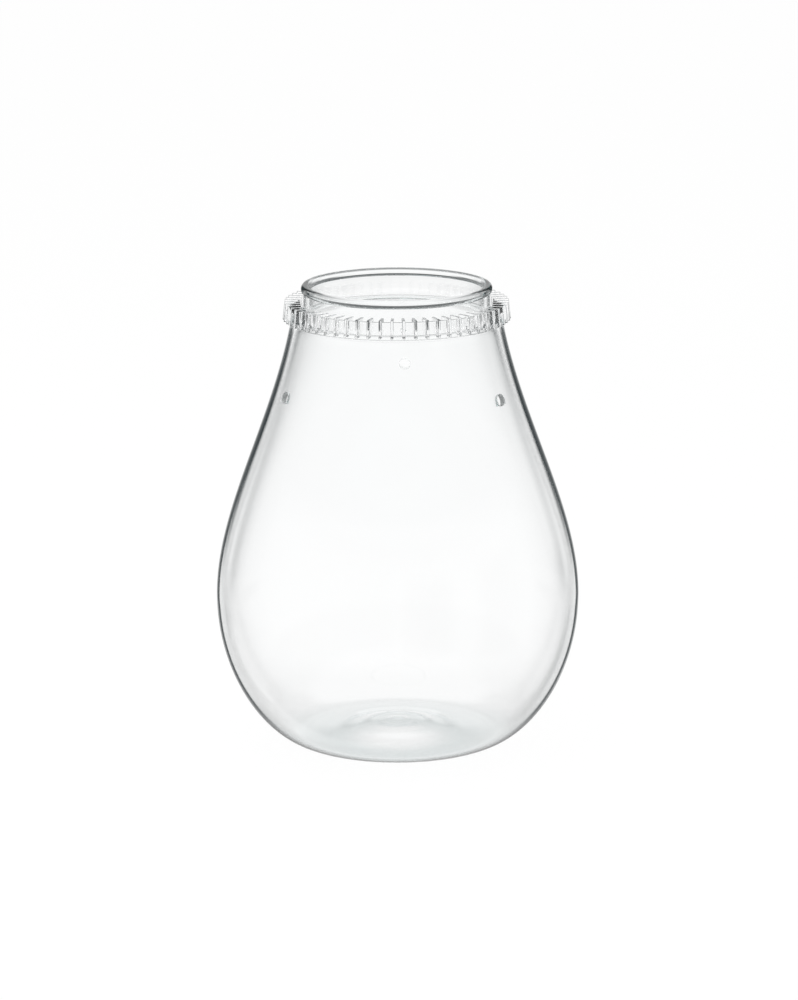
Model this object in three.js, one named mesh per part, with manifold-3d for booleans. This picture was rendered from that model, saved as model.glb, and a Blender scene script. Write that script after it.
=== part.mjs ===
// Glass plant jar: a pear-shaped blown jar, and the clear ribbed collar that drops over its lip
// onto the shoulder.
// Millimetres, +Z up. The origin is on the ground under the jar's axis and the front faces -Y.
// Turns about the axis are counted from the front, towards +X.
import * as THREE from 'three';
import { mergeVertices } from 'three/addons/utils/BufferGeometryUtils.js';
import Module from 'manifold-3d';

// Jar body
const JAR_HEIGHT = 229;
const BELLY_RADIUS = 90;
const BELLY_HEIGHT = 73;
const SHOULDER_WALL = 3; // the blown wall thins from the shoulder down to the belly
const BELLY_WALL = 1.4;

// Foot and base
const FOOT_RADIUS = 49;
const FOOT_LAND = 2.5;
const BASE_THICKNESS = 1.8;
const PUNT_RISE = 5;
const PUNT_PAD_RADIUS = 22; // to the middle of the pad's soft edge
const PUNT_PAD_EDGE = 10;
const PUNT_PAD_RISE = 0.8;

// Mouth, neck and shoulder
const MOUTH_RADIUS = 43;
const NECK_WALL = 2.7;
const LIP_OVERHANG = 1.15;
const LIP_HEIGHT = 4.3;
const NECK_DEPTH = 10.4; // from the top of the lip down to where the neck starts to widen
const SHOULDER_DROP = 9.2; // from there down to the top of the flank
const SHOULDER_REACH = 6.6; // from the neck out to the top of the flank

// Shape of the shoulder, flank and heel: the lean is from the vertical, the pulls are the curves'
// handles as shares of the stretch that each curve spans
const SHOULDER_PULL = 0.5;
const FLANK_LEAN = THREE.MathUtils.degToRad(11.3);
const FLANK_TOP_PULL = 0.378;
const FLANK_BELLY_PULL = 0.305;
const HEEL_BELLY_PULL = 0.603;
const HEEL_FOOT_PULL = 0.342;

// Drilled air holes
const VENT_COUNT = 3;
const VENT_DIAMETER = 6;
const VENT_DROP = 31.4; // from the top of the flank down to the middle of a hole
const VENT_TURN = THREE.MathUtils.degToRad(56.1);

// Collar
const COLLAR_HEIGHT = 9.6;
const COLLAR_DROP = 7.2; // from where the neck starts to widen down to the collar's underside
const COLLAR_SLIP = 0.45; // between the collar's bore and the lip that it passes
const COLLAR_WALL = 1.2;
const FLANGE_THICKNESS = 2.2;
const FLANGE_REACH = 1.3;
const RIB_COUNT = 60;
const RIB_THICKNESS = 1.35;
const RIB_INSIDE = 4.9; // from the collar's wall in to the bore
const RIB_PROUD = 1.2; // past the flange, at the foot of a rib
const RIB_DRAFT = 1; // how much less a rib reaches at its top
const RIB_CROWN = 1; // above the collar's wall
const RIB_LIFT = 0.6; // of a rib's round foot above the flange's underside
const RIB_TURN = THREE.MathUtils.degToRad(3.6);
const SEAT_GAP = 0.3; // between the ribs and the shoulder that they rest on

// Facets and fineness
const JAR_SIDES = 48;
const COLLAR_SIDES = RIB_COUNT;
const VENT_SIDES = 16;
const PUNT_STEPS = 7;
const HEEL_STEPS = 7;
const FLANK_STEPS = 9;
const SHOULDER_STEPS = 5;
const ARC_STEPS = 3;
const RIB_FOOT_STEPS = 3;
const MERGE_DISTANCE = 1e-4;
const CURVE_SEARCH_END = 1e-6; // share of a curve

// Radii and heights that follow from the sizes above
const NECK_RADIUS = MOUTH_RADIUS + NECK_WALL;
const LIP_RADIUS = NECK_RADIUS + LIP_OVERHANG;
const LIP_ROUND = Math.min(NECK_WALL + LIP_OVERHANG, LIP_HEIGHT) / 2;
const NECK_FOOT = JAR_HEIGHT - NECK_DEPTH;
const FLANK_RADIUS = NECK_RADIUS + SHOULDER_REACH;
const FLANK_HEIGHT = NECK_FOOT - SHOULDER_DROP;
const PUNT_RADIUS = FOOT_RADIUS - FOOT_LAND;
const DRILL_LENGTH = 2 * (SHOULDER_WALL + VENT_DIAMETER);
const COLLAR_UNDERSIDE = NECK_FOOT - COLLAR_DROP;
const BORE_RADIUS = LIP_RADIUS + COLLAR_SLIP;
const SKIRT_RADIUS = BORE_RADIUS + RIB_INSIDE;
const WALL_RADIUS = SKIRT_RADIUS + COLLAR_WALL;
const FLANGE_RADIUS = WALL_RADIUS + FLANGE_REACH;
const RIB_FOOT_RADIUS = FLANGE_RADIUS + RIB_PROUD;

const wasm = await Module();
wasm.setup();

const point = (radius, height) => new THREE.Vector2(radius, height);

// Solid of revolution about +Z from a profile of (radius, height) points
function turned(profile, sides, startTurn = 0) {
  return new THREE.LatheGeometry(profile, sides, startTurn).rotateX(Math.PI / 2);
}

function toSolid(geometry) {
  const bare = geometry.clone();
  bare.deleteAttribute('normal');
  bare.deleteAttribute('uv');
  const merged = mergeVertices(bare, MERGE_DISTANCE);
  const mesh = new wasm.Mesh({
    numProp: 3,
    vertProperties: new Float32Array(merged.attributes.position.array),
    triVerts: new Uint32Array(merged.index.array),
  });
  return new wasm.Manifold(mesh);
}

function toGeometry(solid) {
  const mesh = solid.getMesh();
  const geometry = new THREE.BufferGeometry();
  geometry.setAttribute('position', new THREE.BufferAttribute(new Float32Array(mesh.vertProperties), 3));
  geometry.setIndex(new THREE.BufferAttribute(new Uint32Array(mesh.triVerts), 1));
  geometry.computeVertexNormals();
  return geometry;
}

// Points of an arc about (radius, height), both ends included
function arc(radius, height, size, from, to, steps = ARC_STEPS) {
  return Array.from({ length: steps + 1 }, (_, i) => {
    const angle = THREE.MathUtils.lerp(from, to, i / steps);
    return point(radius + size * Math.cos(angle), height + size * Math.sin(angle));
  });
}

// Point of a curve that runs down the body, moved into the jar by a depth
function inset(curve, t, depth) {
  const way = curve.getTangent(t);
  return curve.getPoint(t).addScaledVector(point(way.y, -way.x), depth);
}

// Points down such a curve, at a depth that may vary
function along(curve, steps, depthAt = () => 0) {
  return Array.from({ length: steps + 1 }, (_, i) => inset(curve, i / steps, depthAt(i / steps)));
}

// Outer outline of the body, downwards: the shoulder from the neck to the flank, the flank from
// there to the belly, then the heel from the belly to the foot
const shoulder = new THREE.CubicBezierCurve(
  point(NECK_RADIUS, NECK_FOOT),
  point(NECK_RADIUS, NECK_FOOT - SHOULDER_PULL * SHOULDER_DROP),
  point(
    FLANK_RADIUS - SHOULDER_PULL * SHOULDER_DROP * Math.sin(FLANK_LEAN),
    FLANK_HEIGHT + SHOULDER_PULL * SHOULDER_DROP * Math.cos(FLANK_LEAN),
  ),
  point(FLANK_RADIUS, FLANK_HEIGHT),
);
const flankDrop = FLANK_HEIGHT - BELLY_HEIGHT;
const flank = new THREE.CubicBezierCurve(
  point(FLANK_RADIUS, FLANK_HEIGHT),
  point(
    FLANK_RADIUS + FLANK_TOP_PULL * flankDrop * Math.sin(FLANK_LEAN),
    FLANK_HEIGHT - FLANK_TOP_PULL * flankDrop * Math.cos(FLANK_LEAN),
  ),
  point(BELLY_RADIUS, BELLY_HEIGHT + FLANK_BELLY_PULL * flankDrop),
  point(BELLY_RADIUS, BELLY_HEIGHT),
);
const heel = new THREE.CubicBezierCurve(
  point(BELLY_RADIUS, BELLY_HEIGHT),
  point(BELLY_RADIUS, BELLY_HEIGHT * (1 - HEEL_BELLY_PULL)),
  point(FOOT_RADIUS + HEEL_FOOT_PULL * (BELLY_RADIUS - FOOT_RADIUS), 0),
  point(FOOT_RADIUS, 0),
);

// Wall thickness down the shoulder, the flank and the heel
const shoulderWall = (t) => THREE.MathUtils.lerp(NECK_WALL, SHOULDER_WALL, t);
const flankWall = (t) => THREE.MathUtils.lerp(SHOULDER_WALL, BELLY_WALL, t);
const heelWall = (t) => THREE.MathUtils.lerp(BELLY_WALL, BASE_THICKNESS, t ** 3);

// Underside of the base, pushed up inside the foot, with a low round pad at its middle
function puntHeight(radius) {
  const dome = (1 + Math.cos(Math.PI * radius / PUNT_RADIUS)) / 2;
  const half = PUNT_PAD_EDGE / 2;
  const pad = 1 - THREE.MathUtils.smoothstep(radius, PUNT_PAD_RADIUS - half, PUNT_PAD_RADIUS + half);
  return PUNT_RISE * dome + PUNT_PAD_RISE * pad;
}

// The punt from the middle out to the foot, lifted by the base's thickness for the inside
function punt(lift) {
  return Array.from({ length: PUNT_STEPS + 1 }, (_, i) => {
    const radius = PUNT_RADIUS * i / PUNT_STEPS;
    return point(radius, puntHeight(radius) + lift);
  });
}

// Round bead at the mouth, from the neck outside over the top to the mouth inside
function lipBead() {
  const outer = LIP_RADIUS - LIP_ROUND;
  const inner = MOUTH_RADIUS + LIP_ROUND;
  const low = JAR_HEIGHT - LIP_HEIGHT + LIP_ROUND;
  const high = JAR_HEIGHT - LIP_ROUND;
  const tuck = -Math.acos((NECK_RADIUS - outer) / LIP_ROUND);
  return [
    ...arc(outer, low, LIP_ROUND, tuck, 0),
    ...arc(outer, high, LIP_ROUND, 0, Math.PI / 2),
    ...arc(inner, high, LIP_ROUND, Math.PI / 2, Math.PI),
  ];
}

// Where the flank is at a height: its point and its tangent
function flankAt(height) {
  let low = 0;
  let high = 1;
  while (high - low > CURVE_SEARCH_END) {
    const middle = (low + high) / 2;
    if (flank.getPoint(middle).y > height) low = middle;
    else high = middle;
  }
  return { place: flank.getPoint(low), way: flank.getTangent(low) };
}

// Drill for one air hole, square to the flank
function ventDrill(turn) {
  const { place, way } = flankAt(FLANK_HEIGHT - VENT_DROP);
  const drill = new THREE.CylinderGeometry(VENT_DIAMETER / 2, VENT_DIAMETER / 2, DRILL_LENGTH, VENT_SIDES);
  const lean = Math.atan2(way.x, -way.y);
  drill.rotateX(-lean).translate(0, -place.x, place.y);
  return drill.rotateZ(turn);
}

function glassJar() {
  const outside = [
    ...punt(0),
    ...along(heel, HEEL_STEPS).reverse(),
    ...along(flank, FLANK_STEPS).reverse().slice(1),
    ...along(shoulder, SHOULDER_STEPS).reverse().slice(1),
    ...lipBead(),
  ];
  const inside = [
    ...along(shoulder, SHOULDER_STEPS, shoulderWall),
    ...along(flank, FLANK_STEPS, flankWall).slice(1),
    ...along(heel, HEEL_STEPS, heelWall).slice(1),
    ...punt(BASE_THICKNESS).reverse(),
  ];
  let jar = toSolid(turned([...outside, ...inside], JAR_SIDES));
  for (let i = 0; i < VENT_COUNT; i += 1) {
    jar = jar.subtract(toSolid(ventDrill(VENT_TURN + (2 * Math.PI * i) / VENT_COUNT)));
  }
  return toGeometry(jar);
}

// Wall and flange of the collar, one closed ring that clears the shoulder
function collarRing(startTurn) {
  const wallTop = COLLAR_HEIGHT - RIB_CROWN;
  return turned([
    point(SKIRT_RADIUS, 0),
    point(FLANGE_RADIUS, 0),
    point(FLANGE_RADIUS, FLANGE_THICKNESS),
    point(WALL_RADIUS, FLANGE_THICKNESS),
    point(WALL_RADIUS, wallTop),
    point(SKIRT_RADIUS, wallTop),
    point(SKIRT_RADIUS, 0),
  ], COLLAR_SIDES, startTurn);
}

// The jar's shoulder and flank, grown by the gap, that the ribs' inner ends are cut to
function seatCutter(startTurn) {
  const grown = () => -SEAT_GAP;
  const cutter = turned([
    point(0, BELLY_HEIGHT),
    ...along(flank, FLANK_STEPS, grown).reverse(),
    ...along(shoulder, SHOULDER_STEPS, grown).reverse().slice(1),
    point(0, NECK_FOOT),
  ], COLLAR_SIDES, startTurn);
  return cutter.translate(0, 0, -COLLAR_UNDERSIDE);
}

// Space that the ribs fill: the bore inside, the drafted reach outside
function ribReach(startTurn) {
  return turned([
    point(BORE_RADIUS, RIB_LIFT),
    point(RIB_FOOT_RADIUS, RIB_LIFT),
    point(RIB_FOOT_RADIUS - RIB_DRAFT, COLLAR_HEIGHT),
    point(BORE_RADIUS, COLLAR_HEIGHT),
    point(BORE_RADIUS, RIB_LIFT),
  ], COLLAR_SIDES, startTurn);
}

// One rib as a bar with a round foot, running outwards from inside the bore
function ribBar(turn) {
  const half = RIB_THICKNESS / 2;
  const section = new THREE.Shape();
  section.moveTo(-half, COLLAR_HEIGHT + half);
  section.lineTo(-half, RIB_LIFT + half);
  section.absarc(0, RIB_LIFT + half, half, Math.PI, 2 * Math.PI, false);
  section.lineTo(half, COLLAR_HEIGHT + half);
  const start = BORE_RADIUS - RIB_INSIDE / 2;
  const bar = new THREE.ExtrudeGeometry(section, {
    depth: RIB_FOOT_RADIUS + RIB_PROUD - start,
    bevelEnabled: false,
    curveSegments: RIB_FOOT_STEPS,
  });
  return bar.translate(0, 0, start).rotateX(Math.PI / 2).rotateZ(turn);
}

function gripCollar() {
  const pitch = (2 * Math.PI) / RIB_COUNT;
  const facetStart = RIB_TURN + pitch / 2;
  let ribs = toSolid(ribBar(RIB_TURN));
  for (let i = 1; i < RIB_COUNT; i += 1) {
    ribs = ribs.add(toSolid(ribBar(RIB_TURN + i * pitch)));
  }
  const trimmed = ribs.intersect(toSolid(ribReach(facetStart)));
  const collar = toSolid(collarRing(facetStart)).add(trimmed);
  return toGeometry(collar.subtract(toSolid(seatCutter(facetStart))));
}

const glass = new THREE.MeshStandardMaterial({
  color: 0xdce9e7,
  roughness: 0.02,
  metalness: 0,
  transparent: true,
  opacity: 0.35,
});
const clearPlastic = new THREE.MeshStandardMaterial({
  color: 0xe6eded,
  roughness: 0.08,
  metalness: 0,
  transparent: true,
  opacity: 0.5,
});

const jar = new THREE.Mesh(glassJar(), glass);
jar.name = 'glass_jar';

const collar = new THREE.Mesh(gripCollar(), clearPlastic);
collar.name = 'grip_collar';
collar.position.z = COLLAR_UNDERSIDE;

const plantJar = new THREE.Group();
plantJar.add(jar, collar);

export default plantJar;
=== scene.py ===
"""Glass plant jar with its loose ribbed collar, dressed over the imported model."""

import math

import bpy
from mathutils import Matrix, Vector


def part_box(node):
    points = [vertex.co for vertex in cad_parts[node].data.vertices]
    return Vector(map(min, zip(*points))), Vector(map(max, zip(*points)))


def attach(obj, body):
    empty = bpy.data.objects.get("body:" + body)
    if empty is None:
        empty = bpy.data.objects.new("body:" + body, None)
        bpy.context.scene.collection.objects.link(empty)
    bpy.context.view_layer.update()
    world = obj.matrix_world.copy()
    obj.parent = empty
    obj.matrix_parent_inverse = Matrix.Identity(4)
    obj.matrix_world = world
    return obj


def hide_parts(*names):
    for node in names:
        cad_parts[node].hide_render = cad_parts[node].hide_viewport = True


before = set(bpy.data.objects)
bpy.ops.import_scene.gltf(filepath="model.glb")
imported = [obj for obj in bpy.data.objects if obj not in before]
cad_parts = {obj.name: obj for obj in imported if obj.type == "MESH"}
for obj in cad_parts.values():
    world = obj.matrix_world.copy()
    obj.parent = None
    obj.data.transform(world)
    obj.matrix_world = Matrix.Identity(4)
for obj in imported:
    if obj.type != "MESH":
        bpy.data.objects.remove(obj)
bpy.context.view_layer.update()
_, JAR_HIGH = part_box("glass_jar")
COLLAR_LOW, COLLAR_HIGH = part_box("grip_collar")

bl_info = {
    "name": "Glass plant jar",
    "version": (1, 0, 0),
    "blender": (4, 5, 0),
    "location": "3D View > Sidebar > Plant Jar",
    "description": "Builds a clear blown plant jar and the ribbed collar on its shoulder",
    "category": "Add Mesh",
}

PHOTO_WIDTH = 798
PHOTO_HEIGHT = 1000
SENSOR = 36.0
TAU = 2 * math.pi
WHITE = (1.0, 1.0, 1.0, 1.0)

# Steps along the curves of the jar and the collar
PUNT_STEPS = 36
HEEL_STEPS = 40
FLANK_STEPS = 48
SHOULDER_STEPS = 24
LIP_STEPS = 9
CORNER_STEPS = 4
FOOT_STEPS = 6
DRILL_SIDES = 48
# Halvings that find a height on the flank
HALVINGS = 40
# Lengths in metres under which points count as one
LEAST_STEP = 1e-7
SEWN_DISTANCE = 1e-6
# Edges that turn by more than this stay sharp
SMOOTH_DEGREES = 35
# A rib is what two crossing bars share, and they are longer than it by this factor
RIB_OVERRUN = 1.1
# Round of a rib's foot, as a share of its width
FOOT_ROUND = 0.499

# Light past more clear surfaces than this is seen through glass
BEHIND_GLASS = 1.5
# Light past fewer than the first has met one wall only, and past more than the second several walls
ONE_WALL = 2.5
SEVERAL_WALLS = 4.5
# Light with fewer mirrorings than this has none
FIRST_MIRROR = 0.5
LIGHT_BOUNCES = 32

# Light that clear pieces meet, by degrees aside of the front line of sight: from below and at the horizon
LOW_LIGHT = [
    (0, 1.0),
    (2.5, 1.0),
    (4, 0.95),
    (7, 0.75),
    (12, 0.38),
    (18, 0.06),
    (22, 0.02),
    (25, 1.0),
    (35, 1.0),
    (40, 0.6),
    (46, 0.65),
    (52, 0.85),
    (60, 1.0),
    (180, 1.0),
]
LEVEL_LIGHT = [
    (0, 0.75),
    (10, 0.75),
    (16, 0.1),
    (24, 0.02),
    (28, 0.02),
    (33, 1.0),
    (42, 1.0),
    (48, 0.3),
    (52, 0.4),
    (57, 0.8),
    (66, 1.0),
    (180, 1.0),
]
# The same from higher up, as it is mirrored and as it is let through
MIRRORED_HIGH = [(0, 0.4), (26, 0.05), (32, 0.9), (40, 0.9), (46, 0.3), (52, 0.5), (60, 0.95), (180, 0.9)]
PASSED_HIGH = [(0, 0.05), (46, 0.05), (60, 0.9), (180, 0.85)]
# The same after several walls, from below or level and from higher up
DEEP_LIGHT = [(0, 1.0), (5, 1.0), (11, 0.1), (16, 0.0), (50, 0.0), (66, 0.5), (84, 0.9), (180, 0.9)]
DEEP_HIGH = [(0, 0.9), (10, 0.9), (25, 0.5), (60, 0.4), (180, 0.8)]
# Shares of the level light, the high light, the ceiling and the floor, by degrees up from straight below
LEVEL_SPAN = [(0, 0.0), (79, 0.0), (85, 1.0), (180, 1.0)]
HIGH_SPAN = [(0, 0.0), (104, 0.0), (110, 1.0), (180, 1.0)]
CEILING_SPAN = [(0, 0.0), (132, 0.0), (142, 1.0), (180, 1.0)]
FLOOR_SPAN = [(0, 1.0), (52, 1.0), (63, 0.0), (180, 0.0)]
# Brightness of the floor after one wall and after several
EDGE_FLOOR = 0.25
DEEP_FLOOR = 0.4
# Brightness of the level light after one wall, and how far aside that reaches
EDGE_LEVEL = 0.1
EDGE_REACH = [(0, 1.0), (12, 1.0), (20, 0.0), (180, 0.0)]
# Dark strip under the horizon for light that has passed several walls, by height and aside
DARK_SPAN = [(0, 0.0), (79.6, 0.0), (80.4, 0.9), (83.5, 0.9), (85, 0.0), (180, 0.0)]
DARK_REACH = [(0, 1.0), (70, 1.0), (80, 0.0), (180, 0.0)]
# White wall on the level line of sight from the front
SIGHT_SPAN = [(0, 0.0), (81, 0.0), (82, 1.0), (91, 1.0), (92, 0.0), (180, 0.0)]
SIGHT_REACH = [(0, 1.0), (3, 1.0), (4.5, 0.0), (180, 0.0)]
# White floor further out, on the line of sight from the front right
SIDE_TURN = -45
SIDE_SPAN = [(0, 1.0), (69, 1.0), (74, 0.0), (180, 0.0)]
SIDE_REACH = [(0, 1.0), (8, 1.0), (16, 0.0), (180, 0.0)]
# Dark screens beside the line of sight from the back left: for unmirrored light, and for light after one wall
BACK_TURN = 135
BACK_SPAN = [(0, 0.0), (60, 0.0), (66, 1.0), (100, 1.0), (106, 0.0), (180, 0.0)]
BACK_BENT = [(0, 0.0), (5, 0.02), (10, 0.2), (16, 0.6), (24, 0.95), (48, 0.95), (54, 0.0), (180, 0.0)]
BACK_EDGES = [(0, 0.0), (5, 0.0), (14, 0.45), (26, 0.45), (45, 0.0), (180, 0.0)]
SCREEN_COLOUR = (0.015, 0.025, 0.028, 1.0)

# Floor: half its width, how much of it glows, and the painted shadow, a soft grey ring that shows through the
# jar's base
FLOOR_HALF = 6.0
FLOOR_GLOW = 0.95
PAINTED_SHADOW_COLOUR = (0.8, 0.84, 0.84, 1.0)
PAINTED_SHADOW_MIDDLE = (0.0, -0.012, 0.0)
PAINTED_SHADOW_FADES = ((0.032, 0.01), (0.03, 0.08))
SOFTBOX_SIZE = 1.0
SOFTBOX_PLACE = Vector((-0.5, -0.3, 1.4))
SOFTBOX_AIM = Vector((0.0, 0.0, 0.1))


# Settings

def length(name, metres, description):
    return bpy.props.FloatProperty(
        name=name,
        description=description,
        default=metres,
        min=0.0,
        precision=5,
        unit="LENGTH",
        subtype="DISTANCE",
    )


def angle(name, degrees, description):
    return bpy.props.FloatProperty(
        name=name, description=description, default=math.radians(degrees), unit="ROTATION", subtype="ANGLE"
    )


def share(name, value, description, high=1.0):
    return bpy.props.FloatProperty(
        name=name, description=description, default=value, min=0.0, max=high, precision=4, subtype="FACTOR"
    )


def count(name, value, description):
    return bpy.props.IntProperty(name=name, description=description, default=value, min=1)


def colour(name, value, description):
    return bpy.props.FloatVectorProperty(
        name=name, description=description, default=value, min=0.0, max=1.0, size=3, subtype="COLOR"
    )


class JarSizes(bpy.types.PropertyGroup):
    """Sizes of the blown jar."""

    height: length("Height", JAR_HIGH.z, "From the ground to the top of the lip")
    belly_radius: length("Belly radius", JAR_HIGH.x, "Half the jar's greatest width")
    belly_height: length("Belly height", 0.073, "Height of the greatest width")
    shoulder_wall: length("Shoulder wall", 0.003, "Glass thickness under the shoulder")
    belly_wall: length("Belly wall", 0.0014, "Glass thickness at the belly")
    foot_radius: length("Foot radius", 0.049, "Outer radius of the ring that the jar stands on")
    foot_land: length("Foot land", 0.0025, "Width of the ring that the jar stands on")
    base_thickness: length("Base thickness", 0.0018, "Glass thickness of the base")
    punt_rise: length("Punt rise", 0.005, "How far the base is pushed up")
    punt_pad_radius: length("Pad radius", 0.022, "Radius of the low pad at the middle of the base")
    punt_pad_edge: length("Pad edge", 0.01, "Width of the pad's soft edge")
    punt_pad_rise: length("Pad rise", 0.0008, "Height of that pad")
    ripple_rise: length("Ripple rise", 0.00006, "Height of the soft rings in the base")
    ripple_pitch: length("Ripple pitch", 0.0125, "Distance between the soft rings in the base")
    mouth_radius: length("Mouth radius", 0.043, "Inner radius of the neck")
    neck_wall: length("Neck wall", 0.0027, "Glass thickness of the neck")
    lip_overhang: length("Lip overhang", 0.00115, "How far the bead stands out from the neck")
    lip_inset: length("Lip inset", 0.0006, "How far the bead stands into the mouth")
    lip_height: length("Lip height", 0.0043, "Height of the bead")
    neck_depth: length("Neck depth", 0.0104, "From the top of the lip down to where the neck starts to widen")
    shoulder_drop: length("Shoulder drop", 0.0092, "From there down to the top of the flank")
    shoulder_reach: length("Shoulder reach", 0.0066, "From the neck out to the top of the flank")
    shoulder_pull: share("Shoulder pull", 0.5, "Length of the shoulder curve's handles")
    flank_lean: angle("Flank lean", 11.3, "Lean of the flank's top from the vertical")
    flank_top_pull: share("Flank top pull", 0.378, "Length of the flank curve's upper handle")
    flank_belly_pull: share("Flank belly pull", 0.305, "Length of the flank curve's lower handle")
    heel_belly_pull: share("Heel belly pull", 0.603, "Length of the heel curve's upper handle")
    heel_foot_pull: share("Heel foot pull", 0.342, "Length of the heel curve's lower handle")
    vent_count: count("Air holes", 3, "Number of drilled air holes")
    vent_diameter: length("Air hole diameter", 0.006, "Diameter of each drilled air hole")
    vent_drop: length("Air hole drop", 0.0314, "From the top of the flank down to the middle of a hole")
    vent_turn: angle("First air hole", 56.1, "Turn of the first hole from the front, towards +X")
    sides: count("Sides", 224, "Facets round the jar")


class CollarSizes(bpy.types.PropertyGroup):
    """Sizes of the ribbed collar."""

    seat: length("Seat", COLLAR_LOW.z, "Height of the collar's underside")
    height: length("Height", COLLAR_HIGH.z - COLLAR_LOW.z, "From the underside to the tops of the ribs")
    bore_radius: length("Bore radius", 0.0473, "Radius of the hole between the ribs that passes the lip")
    skirt_radius: length("Skirt radius", 0.0522, "Inner radius of the ring's wall")
    wall_radius: length("Wall radius", 0.0534, "Outer radius of the ring's wall")
    flange_radius: length("Flange radius", 0.0547, "Outer radius of the flange")
    flange_thickness: length("Flange thickness", 0.0022, "Thickness of the flange")
    seat_gap: length("Seat gap", 0.0003, "Between the ribs and the shoulder that they rest on")
    edge_round: length("Edge round", 0.0002, "Round on the moulded edges")
    flange_fillet: length("Flange fillet", 0.0007, "Fillet between the wall and the flange")
    rib_count: count("Ribs", 60, "Number of ribs round the collar")
    rib_thickness: length("Rib thickness", 0.00135, "Width of a rib")
    rib_reach: length("Rib reach", 0.0559, "Radius that a rib's foot reaches")
    rib_draft: length("Rib draft", 0.001, "How much less a rib reaches at its top")
    rib_crown: length("Rib crown", 0.001, "How far the ribs stand above the wall")
    rib_lift: length("Rib lift", 0.0006, "Lift of a rib's round foot above the underside")
    nose_round: length("Nose round", 0.0002, "Round on a rib's outer edge")
    rib_turn: angle("First rib", 3.6, "Turn of the first rib from the front, towards +X")
    sides: count("Sides", 240, "Facets round the ring")


class Finishes(bpy.types.PropertyGroup):
    """Colours and finishes of the two clear materials."""

    glass_tint: colour("Glass tint", (0.55, 0.82, 0.84), "Colour that thick glass lets through")
    glass_density: share("Glass density", 6.0, "How strongly thick glass is tinted", 200.0)
    glass_ior: share("Glass refraction", 1.5, "Index of refraction of the glass", 3.0)
    glass_wave: share("Glass waviness", 0.02, "Strength of the blown surface's slow waves")
    glass_wave_size: length("Glass wave size", 0.05, "Size of those waves")
    glass_roughness: share("Glass roughness", 0.0, "Roughness of the glass")
    glass_lamp_tint: colour("Glass in lamp light", (0.98, 0.99, 0.99), "Lamp light past a glass surface")
    ground_white: colour("Ground glass", (0.9, 0.93, 0.93), "Colour of the ground walls of the air holes")
    ground_clear: share("Ground glass clearness", 0.6, "How much light a ground wall lets through")
    ground_roughness: share("Ground glass roughness", 0.55, "Roughness of a ground wall")
    ground_grain: share("Ground glass grain", 0.4, "Strength of the fine grain on a ground wall")
    ground_grain_size: length("Ground grain size", 0.00025, "Size of that grain")
    ground_fade: share("Ground glass fade", 0.7, "How far a ground wall fades when it is seen through glass")
    plastic_tint: colour("Plastic tint", (0.6, 0.68, 0.69), "Colour that thick plastic lets through")
    plastic_density: share("Plastic density", 6.0, "How strongly thick plastic is tinted", 200.0)
    plastic_ior: share("Plastic refraction", 1.49, "Index of refraction of the plastic", 3.0)
    plastic_wave: share("Plastic waviness", 0.01, "Strength of the moulded surface's waves")
    plastic_wave_size: length("Plastic wave size", 0.004, "Size of those waves")
    plastic_roughness: share("Plastic roughness", 0.01, "Roughness of the plastic")
    plastic_lamp_tint: colour("Plastic in lamp light", (1.0, 1.0, 1.0), "Lamp light past a plastic surface")
    plastic_fade: share("Plastic fade", 0.97, "How far the collar fades when it is seen through glass")


class StageSettings(bpy.types.PropertyGroup):
    """Camera and light."""

    camera_distance: length("Camera distance", 2.0, "From the camera to the point that it looks at")
    camera_elevation: angle("Camera elevation", 13.58, "Elevation of the camera above the horizon")
    camera_roll: angle("Camera roll", -0.2, "Roll of the camera about its view")
    look_at: bpy.props.FloatVectorProperty(
        name="Look at",
        description="Point at the middle of the picture",
        default=(0.0008, 0.0, 0.1202),
        size=3,
        unit="LENGTH",
        subtype="TRANSLATION",
    )
    scale: bpy.props.FloatProperty(
        name="Picture scale", description="Pixels for a metre at that point", default=2019.0, min=1.0
    )
    ambient: share("Ambient light", 0.8, "Brightness of the room on matt surfaces", 10.0)
    softbox_power: bpy.props.FloatProperty(
        name="Softbox power", description="Power of the overhead softbox", default=11.0, min=0.0, unit="POWER"
    )


class PlantJarSettings(bpy.types.PropertyGroup):
    """Everything that a user may change."""

    jar: bpy.props.PointerProperty(type=JarSizes, name="Jar", description="Sizes of the jar")
    collar: bpy.props.PointerProperty(type=CollarSizes, name="Collar", description="Sizes of the collar")
    finish: bpy.props.PointerProperty(type=Finishes, name="Finishes", description="Colours and finishes")
    stage: bpy.props.PointerProperty(type=StageSettings, name="Stage", description="Camera and light")


# Node helpers

def add_node(tree, kind, **values):
    """New node with its properties set; keys that name an input socket set that socket."""
    node = tree.nodes.new(kind)
    for key, value in values.items():
        if hasattr(node, key):
            setattr(node, key, value)
        else:
            node.inputs[key.replace("_", " ")].default_value = value
    return node


def math_node(tree, operation, *values):
    node = tree.nodes.new("ShaderNodeMath")
    node.operation = operation
    for socket, value in zip(node.inputs, values):
        if isinstance(value, bpy.types.NodeSocket):
            tree.links.new(value, socket)
        else:
            socket.default_value = value
    return node.outputs[0]


def product(tree, *values):
    return math_node(tree, "MULTIPLY", *values)


def mixed(tree, amount, low, high):
    """Number that goes from low to high by an amount; each may be a socket or a number."""
    node = add_node(tree, "ShaderNodeMix", data_type="FLOAT")
    for socket, value in zip(node.inputs, (amount, None, low, high)):
        if isinstance(value, bpy.types.NodeSocket):
            tree.links.new(value, socket)
        elif value is not None:
            socket.default_value = value
    return node.outputs[0]


def mixed_colour(tree, amount, low, high):
    """Colour that goes from low to high by an amount."""
    node = add_node(tree, "ShaderNodeMix", data_type="RGBA")
    ends = [socket for socket in node.inputs if socket.type == "RGBA"]
    ends[0].default_value = low
    ends[1].default_value = high
    tree.links.new(amount, node.inputs["Factor"])
    return next(socket for socket in node.outputs if socket.type == "RGBA")


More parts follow.
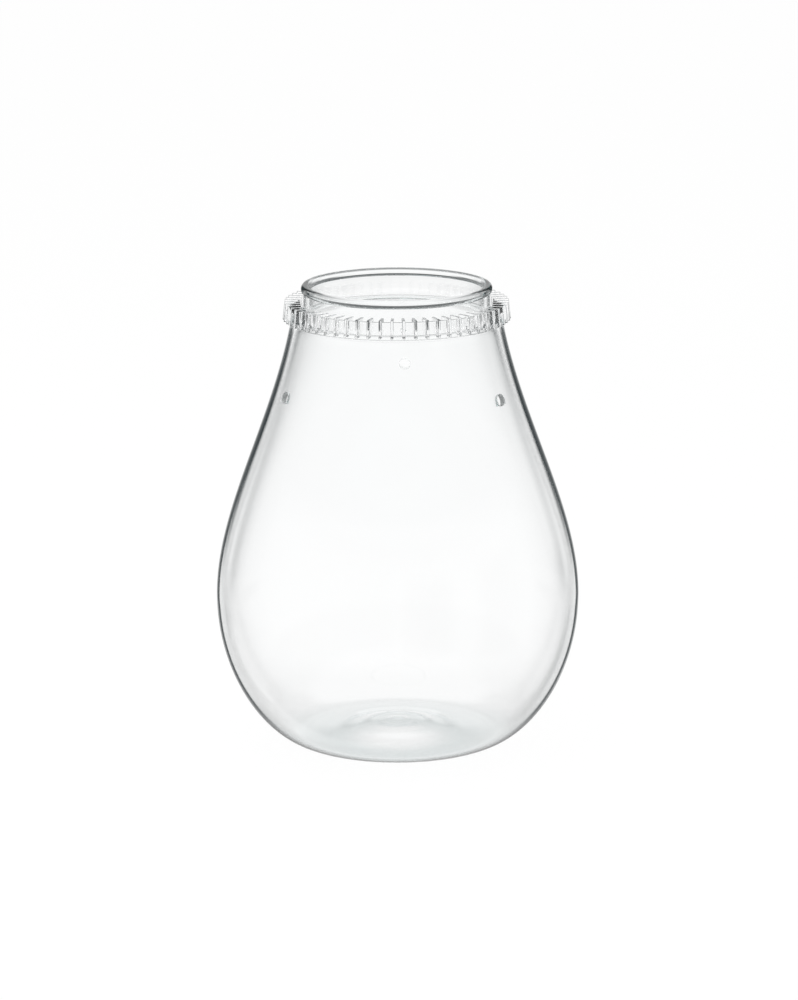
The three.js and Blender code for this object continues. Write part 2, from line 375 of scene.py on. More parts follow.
def mixed_shader(tree, amount, low, high):
    """Shader that goes from low to high by an amount."""
    node = add_node(tree, "ShaderNodeMixShader")
    for socket, source in zip(node.inputs, (amount, low, high)):
        tree.links.new(source, socket)
    return node.outputs[0]


def degree_ramp(tree, source, stops):
    """Ramp through (degrees, brightness) stops, from 0 to 180 degrees, for an angle in radians."""
    node = tree.nodes.new("ShaderNodeValToRGB")
    elements = node.color_ramp.elements
    while len(elements) > 1:
        elements.remove(elements[-1])
    for i, (degrees, value) in enumerate(stops):
        element = elements[0] if i == 0 else elements.new(degrees / 180)
        element.position = degrees / 180
        element.color = (value, value, value, 1.0)
    tree.links.new(math_node(tree, "DIVIDE", source, math.pi), node.inputs["Fac"])
    return node.outputs["Color"]


def off_turn(tree, turn, degrees):
    """Angle between a turn and a direction given in degrees."""
    off = math_node(tree, "SUBTRACT", turn, math.radians(degrees))
    return math_node(tree, "ABSOLUTE", math_node(tree, "WRAP", off, math.pi, -math.pi))


# Outlines of the jar

class Bend:
    """Cubic curve in (radius, height) that runs down the jar."""

    def __init__(self, *points):
        self.points = [Vector(p) for p in points]

    def point(self, t):
        a, b, c, d = self.points
        s = 1 - t
        return s**3 * a + 3 * s * s * t * b + 3 * s * t * t * c + t**3 * d

    def way(self, t):
        a, b, c, d = self.points
        s = 1 - t
        return (s * s * (b - a) + 2 * s * t * (c - b) + t * t * (d - c)).normalized()

    def inset(self, t, depth):
        way = self.way(t)
        return self.point(t) + depth * Vector((way.y, -way.x))

    def walk(self, steps, depth_at=None):
        shares = [i / steps for i in range(steps + 1)]
        return [self.inset(t, depth_at(t) if depth_at else 0.0) for t in shares]


def blend(a, b, t):
    return a + (b - a) * t


def arc(radius, height, size, start, end, steps):
    angles = [blend(start, end, i / steps) for i in range(steps + 1)]
    return [Vector((radius + size * math.cos(a), height + size * math.sin(a))) for a in angles]


class JarOutline:
    """Curves of the jar that follow from its sizes."""

    def __init__(self, s):
        self.s = s
        lean = s.flank_lean
        self.neck = s.mouth_radius + s.neck_wall
        self.lip = self.neck + s.lip_overhang
        self.lip_round = min(s.neck_wall + s.lip_overhang, s.lip_height) / 2
        self.punt_radius = s.foot_radius - s.foot_land
        self.neck_foot = s.height - s.neck_depth
        self.flank_top = self.neck_foot - s.shoulder_drop
        side = self.neck + s.shoulder_reach
        pull = s.shoulder_pull * s.shoulder_drop
        self.shoulder = Bend(
            (self.neck, self.neck_foot),
            (self.neck, self.neck_foot - pull),
            (side - pull * math.sin(lean), self.flank_top + pull * math.cos(lean)),
            (side, self.flank_top),
        )
        drop = self.flank_top - s.belly_height
        pull = s.flank_top_pull * drop
        self.flank = Bend(
            (side, self.flank_top),
            (side + pull * math.sin(lean), self.flank_top - pull * math.cos(lean)),
            (s.belly_radius, s.belly_height + s.flank_belly_pull * drop),
            (s.belly_radius, s.belly_height),
        )
        self.heel = Bend(
            (s.belly_radius, s.belly_height),
            (s.belly_radius, s.belly_height * (1 - s.heel_belly_pull)),
            (s.foot_radius + s.heel_foot_pull * (s.belly_radius - s.foot_radius), 0.0),
            (s.foot_radius, 0.0),
        )

    def shoulder_wall(self, t):
        return blend(self.s.neck_wall, self.s.shoulder_wall, t)

    def flank_wall(self, t):
        return blend(self.s.shoulder_wall, self.s.belly_wall, t)

    def heel_wall(self, t):
        return blend(self.s.belly_wall, self.s.base_thickness, t**3)

    def punt(self, steps, lift, ripple):
        """Pushed-up base from the axis out to the foot, with its pad and soft rings."""
        s = self.s
        points = []
        for i in range(steps + 1):
            radius = self.punt_radius * i / steps
            dome = (1 + math.cos(math.pi * radius / self.punt_radius)) / 2
            edge = (radius - s.punt_pad_radius) / s.punt_pad_edge + 0.5
            edge = min(max(edge, 0.0), 1.0)
            pad = 1 - edge * edge * (3 - 2 * edge)
            wave = ripple * math.cos(TAU * radius / s.ripple_pitch)
            height = (s.punt_rise + wave) * dome + s.punt_pad_rise * pad + lift
            points.append(Vector((radius, height)))
        return points

    def lip_bead(self, steps):
        """Bead from the outside of the neck over the top and into the mouth."""
        s = self.s
        size = self.lip_round
        outer = self.lip - size
        low = s.height - s.lip_height + size
        high = s.height - size
        tuck = -math.acos((self.neck - outer) / size)
        inner = s.mouth_radius - s.lip_inset + size
        inner_tuck = math.acos((inner - s.mouth_radius) / size)
        return [
            *arc(outer, low, size, tuck, 0.0, steps),
            *arc(outer, high, size, 0.0, math.pi / 2, steps),
            *arc(inner, high, size, math.pi / 2, math.pi + inner_tuck, 2 * steps),
        ]

    def profile(self):
        s = self.s
        outside = [
            *self.punt(PUNT_STEPS, 0.0, s.ripple_rise),
            *self.heel.walk(HEEL_STEPS)[::-1],
            *self.flank.walk(FLANK_STEPS)[::-1][1:],
            *self.shoulder.walk(SHOULDER_STEPS)[::-1][1:],
            *self.lip_bead(LIP_STEPS),
        ]
        inside = [
            *self.shoulder.walk(SHOULDER_STEPS, self.shoulder_wall),
            *self.flank.walk(FLANK_STEPS, self.flank_wall)[1:],
            *self.heel.walk(HEEL_STEPS, self.heel_wall)[1:],
            *self.punt(PUNT_STEPS, s.base_thickness, -s.ripple_rise)[::-1],
        ]
        return outside + inside

    def grown(self, gap):
        """Shoulder and flank, moved outwards by a gap and closed at the axis."""
        return [
            Vector((0.0, self.s.belly_height)),
            *self.flank.walk(FLANK_STEPS, lambda t: -gap)[::-1],
            *self.shoulder.walk(SHOULDER_STEPS, lambda t: -gap)[::-1][1:],
            Vector((0.0, self.neck_foot)),
        ]

    def flank_at(self, height):
        """Point of the flank at a height, and the way it runs there."""
        low, high = 0.0, 1.0
        for _ in range(HALVINGS):
            middle = (low + high) / 2
            if self.flank.point(middle).y > height:
                low = middle
            else:
                high = middle
        return self.flank.point(low), self.flank.way(low)


# Meshes

def drop_doubles(profile):
    kept = [profile[0]]
    for point in profile[1:]:
        if (point - kept[-1]).length > LEAST_STEP:
            kept.append(point)
    return kept


def turned_mesh(name, profile, sides, closed):
    """Turns a (radius, height) profile about +Z. Points on the axis become poles."""
    vertices = []
    rings = []
    for radius, height in profile:
        if radius < LEAST_STEP:
            rings.append([len(vertices)] * sides)
            vertices.append((0.0, 0.0, height))
            continue
        rings.append(list(range(len(vertices), len(vertices) + sides)))
        for i in range(sides):
            turn = TAU * i / sides
            vertices.append((radius * math.sin(turn), -radius * math.cos(turn), height))
    pairs = list(zip(rings[:-1], rings[1:]))
    if closed:
        pairs.append((rings[-1], rings[0]))
    faces = []
    for low, high in pairs:
        for i in range(sides):
            j = (i + 1) % sides
            corners = [low[i], low[j], high[j], high[i]]
            face = [c for n, c in enumerate(corners) if c != corners[n - 1]]
            faces.append(face)
    mesh = bpy.data.meshes.new(name)
    mesh.from_pydata(vertices, [], faces)
    mesh.validate()
    return mesh


def add_object(name, data):
    obj = bpy.data.objects.new(name, data)
    bpy.context.scene.collection.objects.link(obj)
    return obj


def evaluated_mesh(obj, name):
    """The object's mesh with its modifiers applied, as a plain new mesh."""
    bpy.context.view_layer.update()
    graph = bpy.context.evaluated_depsgraph_get()
    mesh = bpy.data.meshes.new_from_object(obj.evaluated_get(graph))
    mesh.name = name
    return mesh


def smooth(mesh):
    mesh.polygons.foreach_set("use_smooth", [True] * len(mesh.polygons))
    mesh.set_sharp_from_angle(angle=math.radians(SMOOTH_DEGREES))


def cut_away(obj, name, cutter):
    """Adds a modifier that takes the cutter away from the object."""
    cut = obj.modifiers.new(name, "BOOLEAN")
    cut.operation = "DIFFERENCE"
    cut.solver = "MANIFOLD"
    cut.object = cutter


def vent_axes(s, outline):
    """Middle and outward direction of each air hole on the flank."""
    place, way = outline.flank_at(outline.flank_top - s.vent_drop)
    axes = []
    for i in range(s.vent_count):
        turn = s.vent_turn + TAU * i / s.vent_count
        out = Vector((math.sin(turn), -math.cos(turn), 0.0))
        middle = place.x * out + Vector((0.0, 0.0, place.y))
        normal = (-way.y * out + Vector((0.0, 0.0, way.x))).normalized()
        axes.append((middle, normal))
    return axes


def drill_mesh(axes, radius, reach):
    """One round drill along each axis, reaching as far inwards as outwards."""
    sides = DRILL_SIDES
    vertices = []
    faces = []
    for middle, normal in axes:
        turn = normal.to_track_quat("Z", "Y").to_matrix().to_4x4()
        place = Matrix.Translation(middle) @ turn
        first = len(vertices)
        for end in (-reach, reach):
            for i in range(sides):
                a = TAU * i / sides
                vertices.append(place @ Vector((radius * math.cos(a), radius * math.sin(a), end)))
        low = list(range(first, first + sides))
        high = list(range(first + sides, first + 2 * sides))
        faces.append(low[::-1])
        faces.append(high)
        for i in range(sides):
            j = (i + 1) % sides
            faces.append([low[i], low[j], high[j], high[i]])
    mesh = bpy.data.meshes.new("vent_drill")
    mesh.from_pydata(vertices, [], faces)
    return mesh


# Materials

def empty_material(name):
    material = bpy.data.materials.new(name)
    material.use_nodes = True
    material.node_tree.nodes.clear()
    return material


def slow_waves(tree, size, strength):
    """Bump of soft waves at a size in metres, on the piece's own coordinates."""
    place = add_node(tree, "ShaderNodeTexCoord")
    noise = add_node(tree, "ShaderNodeTexNoise", Scale=1 / size, Detail=1.5, Roughness=0.4)
    bump = add_node(tree, "ShaderNodeBump", Strength=strength, Distance=0.001)
    tree.links.new(place.outputs["Object"], noise.inputs["Vector"])
    tree.links.new(noise.outputs["Fac"], bump.inputs["Height"])
    return bump.outputs["Normal"]


def seen_through_glass(tree, path, fade):
    """Share by which a surface fades for light that has passed another clear piece."""
    behind = math_node(tree, "GREATER_THAN", path.outputs["Transmission Depth"], BEHIND_GLASS)
    return product(tree, behind, fade)


def clear_material(name, ior, tint, density, waves, roughness, lamp_tint, fade=0.0):
    """Clear solid with a tint that deepens with thickness. Lamps pass it as they pass a thin wall."""
    material = empty_material(name)
    tree = material.node_tree
    surface = add_node(tree, "ShaderNodeBsdfPrincipled", Roughness=roughness, IOR=ior)
    surface.inputs["Transmission Weight"].default_value = 1.0
    surface.inputs["Base Color"].default_value = WHITE
    tree.links.new(slow_waves(tree, *waves), surface.inputs["Normal"])
    lamp_side = add_node(tree, "ShaderNodeBsdfTransparent")
    lamp_side.inputs["Color"].default_value = (*lamp_tint, 1.0)
    path = add_node(tree, "ShaderNodeLightPath")
    faded = seen_through_glass(tree, path, fade)
    thin = math_node(tree, "MAXIMUM", path.outputs["Is Shadow Ray"], faded)
    inside = add_node(tree, "ShaderNodeVolumeAbsorption", Density=density)
    inside.inputs["Color"].default_value = (*tint, 1.0)
    out = add_node(tree, "ShaderNodeOutputMaterial")
    whole = mixed_shader(tree, thin, surface.outputs[0], lamp_side.outputs[0])
    tree.links.new(whole, out.inputs["Surface"])
    tree.links.new(inside.outputs[0], out.inputs["Volume"])
    return material


def ground_material(name, f):
    """Ground wall of a drilled hole: matt glass with a fine grain."""
    material = empty_material(name)
    tree = material.node_tree
    place = add_node(tree, "ShaderNodeTexCoord")
    grain = add_node(tree, "ShaderNodeTexNoise", Scale=1 / f.ground_grain_size, Detail=2.0)
    tree.links.new(place.outputs["Object"], grain.inputs["Vector"])
    bump = add_node(tree, "ShaderNodeBump", Strength=f.ground_grain, Distance=0.0001)
    tree.links.new(grain.outputs["Fac"], bump.inputs["Height"])
    surface = add_node(tree, "ShaderNodeBsdfPrincipled", Roughness=f.ground_roughness, IOR=f.glass_ior)
    surface.inputs["Transmission Weight"].default_value = f.ground_clear
    surface.inputs["Base Color"].default_value = (*f.ground_white, 1.0)
    tree.links.new(bump.outputs["Normal"], surface.inputs["Normal"])
    beyond = add_node(tree, "ShaderNodeBsdfTransparent")
    faded = seen_through_glass(tree, add_node(tree, "ShaderNodeLightPath"), f.ground_fade)
    out = add_node(tree, "ShaderNodeOutputMaterial")
    whole = mixed_shader(tree, faded, surface.outputs[0], beyond.outputs[0])
    tree.links.new(whole, out.inputs["Surface"])
    return material


# Collar

def rib_tree(material):
    """Geometry nodes that stand ribs with round feet on the ring that comes in, and join them to it."""
    tree = bpy.data.node_groups.new("collar_ribs", "GeometryNodeTree")
    sockets = {}

    def take(name, kind, default):
        socket = tree.interface.new_socket(name=name, in_out="INPUT", socket_type=kind)
        if default is not None:
            socket.default_value = default
        sockets[name] = socket.identifier

    take("Ring", "NodeSocketGeometry", None)
    take("Rib Count", "NodeSocketInt", 60)
    take("Rib Thickness", "NodeSocketFloat", 0.001)
    take("Rib Bottom", "NodeSocketFloat", 0.0)
    take("Rib Top", "NodeSocketFloat", 0.01)
    take("Rib Start", "NodeSocketFloat", 0.04)
    take("Rib Reach", "NodeSocketFloat", 0.05)
    take("Rib Draft", "NodeSocketFloat", 0.001)
    take("Edge Round", "NodeSocketFloat", 0.0001)
    take("Nose Round", "NodeSocketFloat", 0.0001)
    take("First Turn", "NodeSocketFloat", 0.0)
    tree.interface.new_socket(name="Collar", in_out="OUTPUT", socket_type="NodeSocketGeometry")
    start = tree.nodes.new("NodeGroupInput").outputs
    link = tree.links.new

    place = add_node(tree, "GeometryNodeInputPosition")
    parts = add_node(tree, "ShaderNodeSeparateXYZ")
    link(place.outputs[0], parts.inputs[0])

    def vector(**values):
        node = add_node(tree, "ShaderNodeCombineXYZ")
        for axis, value in values.items():
            link(value, node.inputs[axis])
        return node.outputs[0]

    def bar(width, height, low_round, high_round, depth):
        """Rectangle about the origin in X and Y, its lower and upper corners rounded, extruded along +Z."""
        section = add_node(tree, "GeometryNodeCurvePrimitiveQuadrilateral")
        link(width, section.inputs["Width"])
        link(height, section.inputs["Height"])
        low = math_node(tree, "LESS_THAN", parts.outputs["Y"], 0.0)
        extra = math_node(tree, "SUBTRACT", low_round, high_round)
        fillet = add_node(tree, "GeometryNodeFilletCurve")
        fillet.mode = "POLY"
        fillet.inputs["Count"].default_value = FOOT_STEPS
        link(section.outputs[0], fillet.inputs["Curve"])
        link(math_node(tree, "MULTIPLY_ADD", low, extra, high_round), fillet.inputs["Radius"])
        fill = add_node(tree, "GeometryNodeFillCurve")
        link(fillet.outputs[0], fill.inputs["Curve"])
        extrude = add_node(tree, "GeometryNodeExtrudeMesh")
        extrude.inputs["Individual"].default_value = False
        extrude.inputs["Offset"].default_value = (0.0, 0.0, 1.0)
        link(fill.outputs[0], extrude.inputs["Mesh"])
        link(depth, extrude.inputs["Offset Scale"])
        back = add_node(tree, "GeometryNodeFlipFaces")
        link(fill.outputs[0], back.inputs[0])
        whole = add_node(tree, "GeometryNodeJoinGeometry")
        link(extrude.outputs["Mesh"], whole.inputs[0])
        link(back.outputs[0], whole.inputs[0])
        sewn = add_node(tree, "GeometryNodeMergeByDistance")
        sewn.inputs["Distance"].default_value = SEWN_DISTANCE
        link(whole.outputs[0], sewn.inputs["Geometry"])
        return sewn.outputs[0]

    def placed(mesh, translation, rotation=(0.0, 0.0, 0.0)):
        node = add_node(tree, "GeometryNodeTransform")
        node.inputs["Rotation"].default_value = rotation
        link(mesh, node.inputs["Geometry"])
        link(translation, node.inputs["Translation"])
        return node.outputs[0]

    height = math_node(tree, "SUBTRACT", start["Rib Top"], start["Rib Bottom"])
    depth = math_node(tree, "SUBTRACT", start["Rib Reach"], start["Rib Start"])
    foot = product(tree, start["Rib Thickness"], FOOT_ROUND)
    middle = product(tree, math_node(tree, "ADD", start["Rib Top"], start["Rib Bottom"]), 0.5)
    out = product(tree, start["Rib Start"], -1.0)
    overrun = product(tree, depth, RIB_OVERRUN)
    upright = bar(start["Rib Thickness"], height, foot, start["Edge Round"], overrun)
    upright = placed(upright, vector(Y=out, Z=middle), (math.pi / 2, 0.0, 0.0))

    half_in = product(tree, overrun, 0.5)
    plan = bar(start["Rib Thickness"], overrun, start["Nose Round"], start["Edge Round"], height)
    draft = math_node(tree, "DIVIDE", product(tree, parts.outputs["Z"], start["Rib Draft"]), height)
    lean = add_node(tree, "GeometryNodeSetPosition")
    link(plan, lean.inputs["Geometry"])
    link(math_node(tree, "LESS_THAN", parts.outputs["Y"], 0.0), lean.inputs["Selection"])
    link(vector(Y=draft), lean.inputs["Offset"])
    shift = math_node(tree, "SUBTRACT", half_in, start["Rib Reach"])
    plan = placed(lean.outputs[0], vector(Y=shift, Z=start["Rib Bottom"]))
    rib = add_node(tree, "GeometryNodeMeshBoolean")
    rib.operation = "INTERSECT"
    rib.solver = "MANIFOLD"
    link(upright, rib.inputs["Mesh 2"])
    link(plan, rib.inputs["Mesh 2"])

    points = add_node(tree, "GeometryNodePoints")
    link(start["Rib Count"], points.inputs["Count"])
    index = add_node(tree, "GeometryNodeInputIndex")
    pitch = math_node(tree, "DIVIDE", TAU, start["Rib Count"])
    turn = math_node(tree, "MULTIPLY_ADD", index.outputs[0], pitch, start["First Turn"])
    ribs = add_node(tree, "GeometryNodeInstanceOnPoints")
    link(points.outputs[0], ribs.inputs["Points"])
    link(rib.outputs["Mesh"], ribs.inputs["Instance"])
    link(vector(Z=turn), ribs.inputs["Rotation"])

    real = add_node(tree, "GeometryNodeRealizeInstances")
    link(ribs.outputs[0], real.inputs[0])
    union = add_node(tree, "GeometryNodeMeshBoolean")
    union.operation = "UNION"
    union.solver = "MANIFOLD"
    link(start["Ring"], union.inputs["Mesh 2"])
    link(real.outputs[0], union.inputs["Mesh 2"])
    whole_collar = add_node(tree, "GeometryNodeRealizeInstances")
    link(union.outputs["Mesh"], whole_collar.inputs[0])
    finish = add_node(tree, "GeometryNodeSetMaterial")
    finish.inputs["Material"].default_value = material
    link(whole_collar.outputs[0], finish.inputs["Geometry"])
    end = tree.nodes.new("NodeGroupOutput")
    link(finish.outputs[0], end.inputs["Collar"])
    return tree, sockets


def ring_profile(s):
    """Section of the collar's wall and flange, with its moulded edges rounded."""
    wall_top = s.height - s.rib_crown
    corners = [
        (s.skirt_radius, 0.0),
        (s.flange_radius, 0.0),
        (s.flange_radius, s.flange_thickness),
        (s.wall_radius, s.flange_thickness),
        (s.wall_radius, wall_top),
        (s.skirt_radius, wall_top),
    ]
    edge = s.edge_round
    rounds = [edge, edge, edge, s.flange_fillet, edge, edge]
    return rounded([Vector((r, z + s.seat)) for r, z in corners], rounds, CORNER_STEPS)


def rounded(corners, rounds, steps):
    """Closed outline with each corner rounded by its own measure."""
    points = []
    for i, corner in enumerate(corners):
        before = (corners[i - 1] - corner).normalized()
        after = (corners[(i + 1) % len(corners)] - corner).normalized()
        half = math.acos(max(-1.0, min(1.0, before.dot(after)))) / 2
        reach = rounds[i] / math.tan(half)
        a = corner + reach * before
        b = corner + reach * after
        for j in range(steps + 1):
            t = j / steps
            points.append((1 - t) ** 2 * a + 2 * t * (1 - t) * corner + t * t * b)
    return points


# Operators

class PLANTJAR_OT_blown_jar(bpy.types.Operator):
    """Blow the jar: body, neck, beaded lip, punted base and drilled air holes"""

    bl_idname = "plant_jar.blown_jar"
    bl_label = "Blown jar"

    def execute(self, context):
        s = context.scene.plant_jar.jar
        f = context.scene.plant_jar.finish
        outline = JarOutline(s)
        body = turned_mesh("blown_jar", drop_doubles(outline.profile()), s.sides, closed=False)
        jar = add_object("blown_jar", body)
        axes = vent_axes(s, outline)
        drill = add_object("vent_drill", drill_mesh(axes, s.vent_diameter / 2, s.vent_diameter))
        cut_away(jar, "vents", drill)
        mesh = evaluated_mesh(jar, "blown_jar")
        jar.modifiers.clear()
        jar.data = mesh
        bpy.data.objects.remove(drill)
        if len(mesh.polygons) <= len(body.polygons):
            raise RuntimeError("the air holes were not cut")
        smooth(mesh)
        mesh.materials.clear()
        glass = clear_material(
            "clear_glass",
            f.glass_ior,
            f.glass_tint,
            f.glass_density,
            (f.glass_wave_size, f.glass_wave),
            f.glass_roughness,
            f.glass_lamp_tint,
        )
        mesh.materials.append(glass)
        mesh.materials.append(ground_material("ground_glass", f))
        self.mark_ground(mesh, axes, s.vent_diameter / 2)
        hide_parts("glass_jar")
        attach(jar, "jar")
        return {"FINISHED"}

    @staticmethod
    def mark_ground(mesh, axes, radius):
        """Gives the drilled walls the ground finish."""
        near = 3 * radius
        on_wall = 1.02 * radius
        for face in mesh.polygons:
            face.material_index = 0
            for middle, normal in axes:
                offset = face.center - middle
                aside = offset - offset.dot(normal) * normal
                if offset.length < near and aside.length < on_wall:
                    face.material_index = 1


class PLANTJAR_OT_ribbed_collar(bpy.types.Operator):
    """Mould the collar: ring wall, flange and the ribs all round"""

    bl_idname = "plant_jar.ribbed_collar"
    bl_label = "Ribbed collar"

    def execute(self, context):
        s = context.scene.plant_jar.collar
        f = context.scene.plant_jar.finish
        plastic = clear_material(
            "clear_plastic",
            f.plastic_ior,
            f.plastic_tint,
            f.plastic_density,
            (f.plastic_wave_size, f.plastic_wave),
            f.plastic_roughness,
            f.plastic_lamp_tint,
            f.plastic_fade,
        )
        ring = turned_mesh("ribbed_collar", drop_doubles(ring_profile(s)), s.sides, closed=True)
        collar = add_object("ribbed_collar", ring)
        tree, sockets = rib_tree(plastic)
        ribs = collar.modifiers.new("ribs", "NODES")
        ribs.node_group = tree
        values = {
            "Rib Count": s.rib_count,
            "Rib Thickness": s.rib_thickness,
            "Rib Bottom": s.seat + s.rib_lift,
            "Rib Top": s.seat + s.height,
            "Rib Start": s.bore_radius,
            "Rib Reach": s.rib_reach,
            "Rib Draft": s.rib_draft,
            "Edge Round": s.edge_round,
            "Nose Round": s.nose_round,
            "First Turn": s.rib_turn,
        }
        for name, value in values.items():
            ribs[sockets[name]] = value
        outline = JarOutline(context.scene.plant_jar.jar)
        shoulder = turned_mesh("seat_cutter", outline.grown(s.seat_gap), s.sides, closed=False)
        cutter = add_object("seat_cutter", shoulder)
        cut_away(collar, "seat", cutter)
        mesh = evaluated_mesh(collar, "ribbed_collar")
        collar.modifiers.clear()
        collar.data = mesh
        bpy.data.objects.remove(cutter)
        if len(mesh.polygons) <= len(ring.polygons):
            raise RuntimeError("the ribs were not joined to the ring")
        smooth(mesh)
        mesh.materials.clear()
        mesh.materials.append(plastic)
        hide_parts("grip_collar")
        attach(collar, "collar")
        return {"FINISHED"}


class PLANTJAR_OT_stage(bpy.types.Operator):
    """Set the floor, the light and the camera"""

    bl_idname = "plant_jar.stage"
    bl_label = "Stage"

    def execute(self, context):
        scene = context.scene
        s = scene.plant_jar.stage
        scene.view_settings.view_transform = "Standard"
        scene.cycles.max_bounces = LIGHT_BOUNCES
        scene.cycles.transmission_bounces = LIGHT_BOUNCES
        scene.cycles.glossy_bounces = LIGHT_BOUNCES
        self.floor()
        scene.world = self.room(s)
        self.softbox(s)
        scene.camera = self.camera(s)
        return {"FINISHED"}

    def floor(self):
        half = FLOOR_HALF
        mesh = bpy.data.meshes.new("floor")
        corners = [(-half, -half, 0.0), (half, -half, 0.0), (half, half, 0.0), (-half, half, 0.0)]
        mesh.from_pydata(corners, [], [(0, 1, 2, 3)])
        mesh.materials.append(self.floor_material())
        floor = add_object("floor", mesh)
        floor.visible_glossy = False

    @staticmethod
    def floor_material():
        """Matt white floor that glows for the camera. Light through glass passes all but a grey ring of
        painted shadow under the jar.
        """
        material = empty_material("white_floor")
        tree = material.node_tree
        matt = add_node(tree, "ShaderNodeBsdfDiffuse")
        matt.inputs["Color"].default_value = WHITE
        white = add_node(tree, "ShaderNodeEmission", Strength=1.0)
        path = add_node(tree, "ShaderNodeLightPath")
        glow = product(tree, path.outputs["Is Camera Ray"], FLOOR_GLOW)
        top = mixed_shader(tree, glow, matt.outputs[0], white.outputs[0])
        place = add_node(tree, "ShaderNodeTexCoord")
        away = add_node(tree, "ShaderNodeVectorMath", operation="DISTANCE")
        away.inputs[1].default_value = PAINTED_SHADOW_MIDDLE
        tree.links.new(place.outputs["Object"], away.inputs[0])
        fades = []
        for grey, gone in PAINTED_SHADOW_FADES:
            span = add_node(tree, "ShaderNodeMapRange", interpolation_type="SMOOTHSTEP")
            span.inputs["From Min"].default_value = grey
            span.inputs["From Max"].default_value = gone
            tree.links.new(away.outputs["Value"], span.inputs["Value"])
            fades.append(span.outputs[0])
        # Painted shadow: a grey ring that glows, seen only by light that has passed through a clear piece
        ring = add_node(tree, "ShaderNodeEmission", Strength=1.0)
        ring.inputs["Color"].default_value = PAINTED_SHADOW_COLOUR
        beyond = add_node(tree, "ShaderNodeBsdfTransparent")
        passed = mixed_shader(tree, math_node(tree, "MAXIMUM", *fades), ring.outputs[0], beyond.outputs[0])
        out = add_node(tree, "ShaderNodeOutputMaterial")
        whole = mixed_shader(tree, path.outputs["Is Transmission Ray"], top, passed)
        tree.links.new(whole, out.inputs["Surface"])
        return material

    def room(self, s):
        """White room; clear pieces also meet the grey walls and dark screens beside the line of sight."""
        world = bpy.data.worlds.new("white_room")
        world.use_nodes = True
        tree = world.node_tree
        tree.nodes.clear()
        path = add_node(tree, "ShaderNodeLightPath")
        walls = mixed_colour(tree, self.wall_level(tree, path), SCREEN_COLOUR, WHITE)
        plain = add_node(tree, "ShaderNodeBackground", Strength=s.ambient)
        plain.inputs["Color"].default_value = WHITE
        screens = add_node(tree, "ShaderNodeBackground", Strength=1.0)
        tree.links.new(walls, screens.inputs["Color"])
        white = add_node(tree, "ShaderNodeBackground", Strength=1.0)
        white.inputs["Color"].default_value = WHITE
        clear = math_node(tree, "MAXIMUM", path.outputs["Is Glossy Ray"], path.outputs["Is Transmission Ray"])
        met = mixed_shader(tree, clear, plain.outputs[0], screens.outputs[0])
        whole = mixed_shader(tree, path.outputs["Is Camera Ray"], met, white.outputs[0])
        out = add_node(tree, "ShaderNodeOutputWorld")
        tree.links.new(whole, out.inputs["Surface"])
        return world

    @staticmethod
    def wall_level(tree, path):
        """Brightness of the room by direction, for each kind of light that meets a clear piece."""
        place = add_node(tree, "ShaderNodeTexCoord")
        parts = add_node(tree, "ShaderNodeSeparateXYZ")
        tree.links.new(place.outputs["Generated"], parts.inputs[0])
        turn = math_node(tree, "ARCTAN2", parts.outputs["X"], parts.outputs["Y"])
        aside = math_node(tree, "ABSOLUTE", turn)
        rise = math_node(tree, "ADD", math_node(tree, "ARCSINE", parts.outputs["Z"]), math.pi / 2)

        def by_aside(stops):
            return degree_ramp(tree, aside, stops)

        def by_rise(stops):
            return degree_ramp(tree, rise, stops)

        passed = path.outputs["Is Transmission Ray"]
        surfaces = path.outputs["Transmission Depth"]
        deep = math_node(tree, "GREATER_THAN", surfaces, SEVERAL_WALLS)
        edge = product(tree, passed, math_node(tree, "LESS_THAN", surfaces, ONE_WALL))
        unmirrored = math_node(tree, "LESS_THAN", path.outputs["Glossy Depth"], FIRST_MIRROR)
        bent = product(tree, passed, unmirrored)

        near_edge = product(tree, edge, by_aside(EDGE_REACH))
        level = mixed(tree, near_edge, by_aside(LEVEL_LIGHT), EDGE_LEVEL)
        level = mixed(tree, by_rise(LEVEL_SPAN), by_aside(LOW_LIGHT), level)
        dark = product(tree, by_rise(DARK_SPAN), by_aside(DARK_REACH))
        level = mixed(tree, deep, level, mixed(tree, dark, by_aside(DEEP_LIGHT), 0.0))
        high = mixed(tree, passed, by_aside(MIRRORED_HIGH), by_aside(PASSED_HIGH))
        high = mixed(tree, deep, high, by_aside(DEEP_HIGH))
        level = mixed(tree, by_rise(HIGH_SPAN), level, high)
        off_back = off_turn(tree, turn, BACK_TURN)
        at_back = by_rise(BACK_SPAN)
        for rays, stops in ((bent, BACK_BENT), (edge, BACK_EDGES)):
            reach = product(tree, at_back, degree_ramp(tree, off_back, stops))
            level = mixed(tree, product(tree, rays, reach), level, 0.0)
        sight = product(tree, by_aside(SIGHT_REACH), by_rise(SIGHT_SPAN))
        level = mixed(tree, sight, level, 1.0)
        level = mixed(tree, by_rise(CEILING_SPAN), level, 1.0)
        ground = mixed(tree, edge, mixed(tree, deep, 1.0, DEEP_FLOOR), EDGE_FLOOR)
        level = mixed(tree, by_rise(FLOOR_SPAN), level, ground)
        off_side = off_turn(tree, turn, SIDE_TURN)
        side = product(tree, degree_ramp(tree, off_side, SIDE_REACH), by_rise(SIDE_SPAN))
        return mixed(tree, side, level, 1.0)

    @staticmethod
    def softbox(s):
        lamp = bpy.data.lights.new("softbox", "AREA")
        lamp.size = SOFTBOX_SIZE
        lamp.energy = s.softbox_power
        obj = add_object("softbox", lamp)
        obj.visible_glossy = False
        obj.visible_transmission = False
        obj.location = SOFTBOX_PLACE
        obj.rotation_euler = (SOFTBOX_AIM - SOFTBOX_PLACE).to_track_quat("-Z", "Y").to_euler()

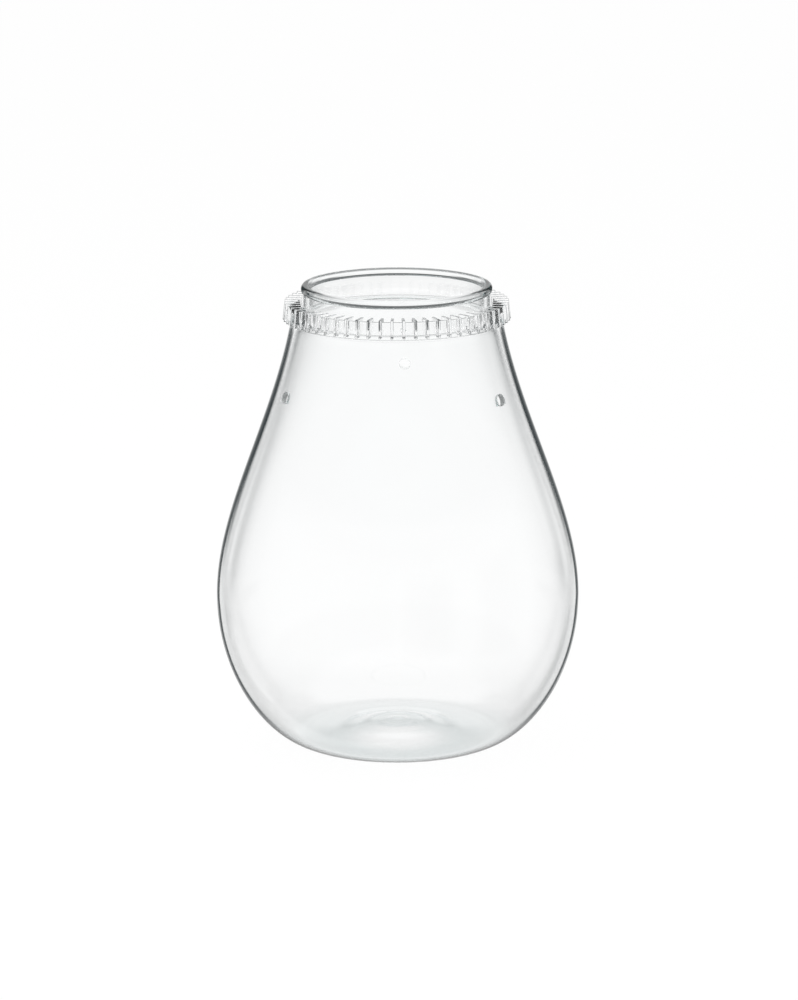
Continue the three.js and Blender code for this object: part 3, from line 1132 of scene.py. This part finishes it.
    @staticmethod
    def camera(s):
        data = bpy.data.cameras.new("photo_camera")
        camera = add_object("photo_camera", data)
        rise = s.camera_elevation
        ahead = Vector((0.0, math.cos(rise), -math.sin(rise)))
        right = Vector((1.0, 0.0, 0.0))
        up = right.cross(ahead)
        roll = s.camera_roll
        right, up = (
            right * math.cos(roll) + up * math.sin(roll),
            up * math.cos(roll) - right * math.sin(roll),
        )
        turn = Matrix((right, up, -ahead)).transposed().to_4x4()
        place = Vector(s.look_at) - s.camera_distance * ahead
        camera.matrix_world = Matrix.Translation(place) @ turn
        data.sensor_width = SENSOR
        data.lens = s.scale * s.camera_distance * SENSOR / max(PHOTO_WIDTH, PHOTO_HEIGHT)
        return camera


class PLANTJAR_PT_panel(bpy.types.Panel):
    """Plant jar in the 3D view's sidebar"""

    bl_idname = "PLANTJAR_PT_panel"
    bl_label = "Plant Jar"
    bl_space_type = "VIEW_3D"
    bl_region_type = "UI"
    bl_category = "Plant Jar"

    def draw(self, context):
        settings = context.scene.plant_jar
        for name, operators in (
            ("jar", (PLANTJAR_OT_blown_jar,)),
            ("collar", (PLANTJAR_OT_ribbed_collar,)),
            ("finish", ()),
            ("stage", (PLANTJAR_OT_stage,)),
        ):
            box = self.layout.box()
            group = getattr(settings, name)
            for key in group.__annotations__:
                box.prop(group, key)
            for operator in operators:
                box.operator(operator.bl_idname)


CLASSES = (
    JarSizes,
    CollarSizes,
    Finishes,
    StageSettings,
    PlantJarSettings,
    PLANTJAR_OT_blown_jar,
    PLANTJAR_OT_ribbed_collar,
    PLANTJAR_OT_stage,
    PLANTJAR_PT_panel,
)


def register():
    for cls in CLASSES:
        bpy.utils.register_class(cls)
    bpy.types.Scene.plant_jar = bpy.props.PointerProperty(type=PlantJarSettings)


def unregister():
    del bpy.types.Scene.plant_jar
    for cls in reversed(CLASSES):
        bpy.utils.unregister_class(cls)


def main():
    register()
    bpy.ops.plant_jar.blown_jar()
    bpy.ops.plant_jar.ribbed_collar()
    bpy.ops.plant_jar.stage()


if __name__ == "__main__":
    main()
